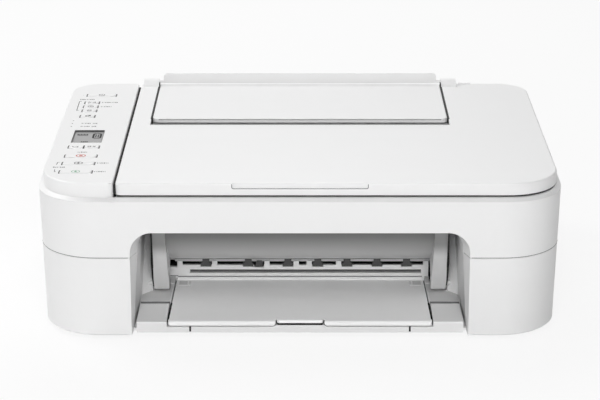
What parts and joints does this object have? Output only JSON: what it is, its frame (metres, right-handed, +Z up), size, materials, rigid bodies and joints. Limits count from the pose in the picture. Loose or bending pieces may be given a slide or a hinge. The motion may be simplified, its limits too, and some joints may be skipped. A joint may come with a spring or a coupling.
{
  "type": "multifunction printer",
  "caption": "Flatbed inkjet multifunction printer with a hinged top cover, fold-up paper support, operation panel at the left, arched output bay, sliding tray and folding output cover.",
  "frame": {"origin": "on the table under the centre of the printer's bounding box, at the bottom of its rubber feet", "axes": "+X to the right seen from the front, +Y to the back, +Z up"},
  "size_m": [0.435, 0.316, 0.145],
  "materials": {
    "white_shell": "fine satin, off-white",
    "bay_grey": "fine satin, light grey",
    "cover_grey": "smooth satin, mid grey",
    "tray_grey": "fine satin, light grey",
    "frame_grey": "fine satin, light grey",
    "inner_plastic": "moulded, near black",
    "pad_white": "soft white film on foam",
    "platen_glass": "clear flat glass",
    "display_window": "clear window over a grey liquid crystal",
    "button_grey": "smooth, off-white",
    "steel": "plain",
    "motor_metal": "plated can",
    "feed_rubber": "matt black",
    "foot_rubber": "matt dark grey",
    "gear_plastic": "natural white",
    "board_green": "green lacquer",
    "black_plastic": "moulded black",
    "guide_grey": "moulded grey"
  },
  "bodies": {
    "housing": {"lower_housing": "white_shell", "upper_housing": "white_shell", "bay_side_left": "bay_grey", "bay_side_right": "bay_grey", "rear_cover": "white_shell", "rubber_feet": "foot_rubber", "scanner_frame": "frame_grey", "platen_glass": "platen_glass", "scanner_tray": "inner_plastic", "scan_guide_rod": "steel", "control_panel": "white_shell", "panel_board": "board_green", "lcd_display": "display_window", "rear_hopper": "frame_grey", "print_base": "inner_plastic", "feed_motor": "motor_metal", "exit_guide": "bay_grey", "star_wheel_rail": "frame_grey", "star_wheel_holders": "black_plastic", "carriage_rail": "steel", "carriage_guide_rod": "steel", "carriage_belt": "feed_rubber", "carriage_motor": "motor_metal", "maintenance_unit": "inner_plastic", "power_supply": "black_plastic", "power_inlet": "black_plastic", "usb_port": "black_plastic", "logic_board": "board_green"},
    "top_cover": {"document_cover": "white_shell", "cover_inner_plate": "frame_grey", "cover_pad": "pad_white", "hinge_pins": "steel"},
    "paper_support": {"paper_support": "white_shell"},
    "paper_guide_left": {"paper_guide_left": "guide_grey"},
    "paper_guide_right": {"paper_guide_right": "guide_grey"},
    "scan_head": {"scan_head": "black_plastic"},
    "output_tray": {"output_tray": "tray_grey"},
    "tray_extension": {"tray_extension": "tray_grey"},
    "output_cover": {"output_cover": "cover_grey"},
    "carriage": {"carriage": "black_plastic", "ink_cartridge_black": "black_plastic", "ink_cartridge_color": "black_plastic"},
    "lock_cover_black": {"lock_cover_black": "guide_grey"},
    "lock_cover_color": {"lock_cover_color": "guide_grey"},
    "feed_roller": {"feed_roller": "feed_rubber"},
    "exit_roller": {"exit_roller": "feed_rubber"},
    "idler_gear": {"idler_gear": "gear_plastic"},
    "motor_pinion": {"motor_pinion": "gear_plastic"},
    "star_wheels": {"star_wheels": "steel"},
    "pickup_roller": {"pickup_roller": "feed_rubber"},
    "button_power": {"button_power": "button_grey"},
    "button_wireless": {"button_wireless": "button_grey"},
    "button_information": {"button_information": "button_grey"},
    "button_direct": {"button_direct": "button_grey"},
    "button_paper": {"button_paper": "button_grey"},
    "button_copies": {"button_copies": "button_grey"},
    "button_fit": {"button_fit": "button_grey"},
    "button_stop": {"button_stop": "button_grey"},
    "button_black_start": {"button_black_start": "button_grey"},
    "button_color_start": {"button_color_start": "button_grey"}
  },
  "joints": [
    {"name": "cover_hinge", "type": "hinge", "parent": "housing", "child": "top_cover", "pos_m": [0, 0.15, 0.1286], "axis": [-1, 0, 0], "range_deg": [0, 75]},
    {"name": "support_hinge", "type": "hinge", "parent": "top_cover", "child": "paper_support", "pos_m": [0, 0.151, 0.1336], "axis": [-1, 0, 0], "range_deg": [0, 100]},
    {"name": "guide_slide_left", "type": "slide", "parent": "housing", "child": "paper_guide_left", "axis": [1, 0, 0], "range_m": [0, 0.055]},
    {"name": "guide_slide_right", "type": "slide", "parent": "housing", "child": "paper_guide_right", "axis": [-1, 0, 0], "range_m": [0, 0.055]},
    {"name": "scan_slide", "type": "slide", "parent": "housing", "child": "scan_head", "axis": [1, 0, 0], "range_m": [0, 0.282]},
    {"name": "tray_slide", "type": "slide", "parent": "housing", "child": "output_tray", "axis": [0, -1, 0], "range_m": [0, 0.08]},
    {"name": "extension_slide", "type": "slide", "parent": "output_tray", "child": "tray_extension", "axis": [0, -1, 0], "range_m": [0, 0.085]},
    {"name": "output_cover_hinge", "type": "hinge", "parent": "housing", "child": "output_cover", "pos_m": [0, -0.079, 0.022], "axis": [1, 0, 0], "range_deg": [0, 48]},
    {"name": "carriage_slide", "type": "slide", "parent": "housing", "child": "carriage", "axis": [-1, 0, 0], "range_m": [0, 0.272]},
    {"name": "lock_hinge_black", "type": "hinge", "parent": "carriage", "child": "lock_cover_black", "pos_m": [0, 0.0155, 0.071], "axis": [-1, 0, 0], "range_deg": [0, 24]},
    {"name": "lock_hinge_color", "type": "hinge", "parent": "carriage", "child": "lock_cover_color", "pos_m": [0, 0.0155, 0.071], "axis": [-1, 0, 0], "range_deg": [0, 24]},
    {"name": "feed_spin", "type": "hinge", "parent": "housing", "child": "feed_roller", "pos_m": [0, 0.022, 0.017], "axis": [1, 0, 0], "continuous": true},
    {"name": "exit_spin", "type": "hinge", "parent": "housing", "child": "exit_roller", "pos_m": [0, -0.039, 0.022], "axis": [1, 0, 0], "continuous": true},
    {"name": "idler_spin", "type": "hinge", "parent": "housing", "child": "idler_gear", "pos_m": [0, -0.00683, 0.03987], "axis": [1, 0, 0], "continuous": true},
    {"name": "pinion_spin", "type": "hinge", "parent": "housing", "child": "motor_pinion", "pos_m": [0, 0.03158, 0.02422], "axis": [1, 0, 0], "continuous": true},
    {"name": "star_spin", "type": "hinge", "parent": "housing", "child": "star_wheels", "pos_m": [0, -0.039, 0.0312], "axis": [1, 0, 0], "continuous": true},
    {"name": "pickup_spin", "type": "hinge", "parent": "housing", "child": "pickup_roller", "pos_m": [0, 0.0785, 0.0634], "axis": [1, 0, 0], "continuous": true},
    {"name": "button_power_press", "type": "slide", "parent": "housing", "child": "button_power", "axis": [0, 0, -1], "range_m": [0, 0.0008], "stiffness_N_per_m": 300, "springref_m": -0.0015},
    {"name": "button_wireless_press", "type": "slide", "parent": "housing", "child": "button_wireless", "axis": [0, 0, -1], "range_m": [0, 0.0008], "stiffness_N_per_m": 300, "springref_m": -0.0015},
    {"name": "button_information_press", "type": "slide", "parent": "housing", "child": "button_information", "axis": [0, 0, -1], "range_m": [0, 0.0008], "stiffness_N_per_m": 300, "springref_m": -0.0015},
    {"name": "button_direct_press", "type": "slide", "parent": "housing", "child": "button_direct", "axis": [0, 0, -1], "range_m": [0, 0.0008], "stiffness_N_per_m": 300, "springref_m": -0.0015},
    {"name": "button_paper_press", "type": "slide", "parent": "housing", "child": "button_paper", "axis": [0, 0, -1], "range_m": [0, 0.0008], "stiffness_N_per_m": 300, "springref_m": -0.0015},
    {"name": "button_copies_press", "type": "slide", "parent": "housing", "child": "button_copies", "axis": [0, 0, -1], "range_m": [0, 0.0008], "stiffness_N_per_m": 300, "springref_m": -0.0015},
    {"name": "button_fit_press", "type": "slide", "parent": "housing", "child": "button_fit", "axis": [0, 0, -1], "range_m": [0, 0.0008], "stiffness_N_per_m": 300, "springref_m": -0.0015},
    {"name": "button_stop_press", "type": "slide", "parent": "housing", "child": "button_stop", "axis": [0, 0, -1], "range_m": [0, 0.0008], "stiffness_N_per_m": 300, "springref_m": -0.0015},
    {"name": "button_black_start_press", "type": "slide", "parent": "housing", "child": "button_black_start", "axis": [0, 0, -1], "range_m": [0, 0.0008], "stiffness_N_per_m": 300, "springref_m": -0.0015},
    {"name": "button_color_start_press", "type": "slide", "parent": "housing", "child": "button_color_start", "axis": [0, 0, -1], "range_m": [0, 0.0008], "stiffness_N_per_m": 300, "springref_m": -0.0015}
  ],
  "couplings": [
    {"joint": "guide_slide_right", "follows": "guide_slide_left", "ratio": 1},
    {"joint": "exit_spin", "follows": "feed_spin", "ratio": 1},
    {"joint": "idler_spin", "follows": "feed_spin", "ratio": -0.27778},
    {"joint": "pinion_spin", "follows": "feed_spin", "ratio": -2},
    {"joint": "star_spin", "follows": "feed_spin", "ratio": -1.125}
  ]
}
